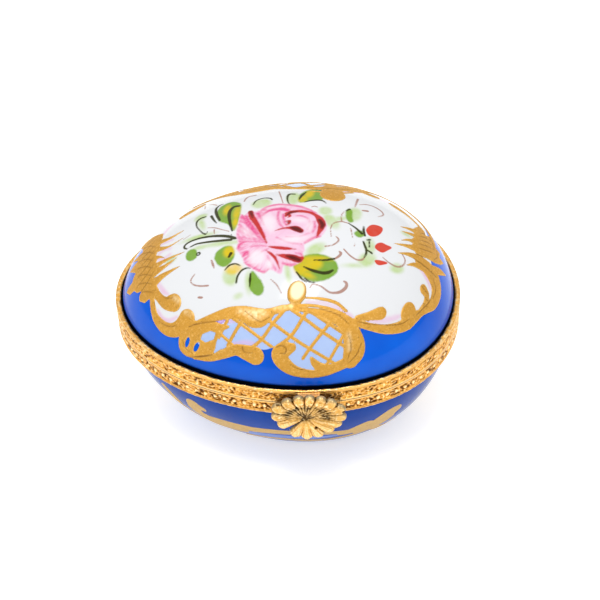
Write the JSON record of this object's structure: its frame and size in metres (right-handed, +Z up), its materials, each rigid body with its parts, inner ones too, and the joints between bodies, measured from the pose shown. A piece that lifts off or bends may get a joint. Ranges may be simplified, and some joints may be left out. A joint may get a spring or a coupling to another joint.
{
  "type": "porcelain trinket box",
  "caption": "Egg-shaped porcelain trinket box with a hinged lid, brass rims and a shell clasp, painted with a rose on white inside gilt scrolls on blue.",
  "frame": {"origin": "centre of the flat foot that the box stands on", "axes": "+Z up, -Y towards the clasp, +X towards the egg's blunt end"},
  "size_m": [0.0702, 0.0619, 0.0467],
  "materials": {
    "blue_porcelain": "glossy painted glaze with gilding",
    "brass": "polished stamped brass",
    "cement": "dark matte cement"
  },
  "bodies": {
    "base": {"base_porcelain": "blue_porcelain", "base_bezel": "brass", "base_cement": "cement", "catch_bead": "brass", "base_hinge_leaf": "brass", "base_hinge_knuckles": "brass", "hinge_pin": "brass"},
    "lid": {"lid_porcelain": "blue_porcelain", "lid_bezel": "brass", "lid_cement": "cement", "lid_hinge_leaf": "brass", "lid_hinge_knuckles": "brass", "clasp_bracket": "brass"},
    "clasp": {"clasp_tongue": "brass", "clasp_medallion": "brass"}
  },
  "joints": [
    {"name": "lid_hinge", "type": "hinge", "parent": "base", "child": "lid", "pos_m": [0.005, 0.0298, 0.025], "axis": [-1, 0, 0], "range_deg": [0, 105]},
    {"name": "clasp_flex", "type": "hinge", "parent": "lid", "child": "clasp", "pos_m": [0.0054, -0.02927, 0.0279], "axis": [-1, 0, 0], "range_deg": [0, 6], "stiffness_Nm_per_rad": 0.05}
  ]
}
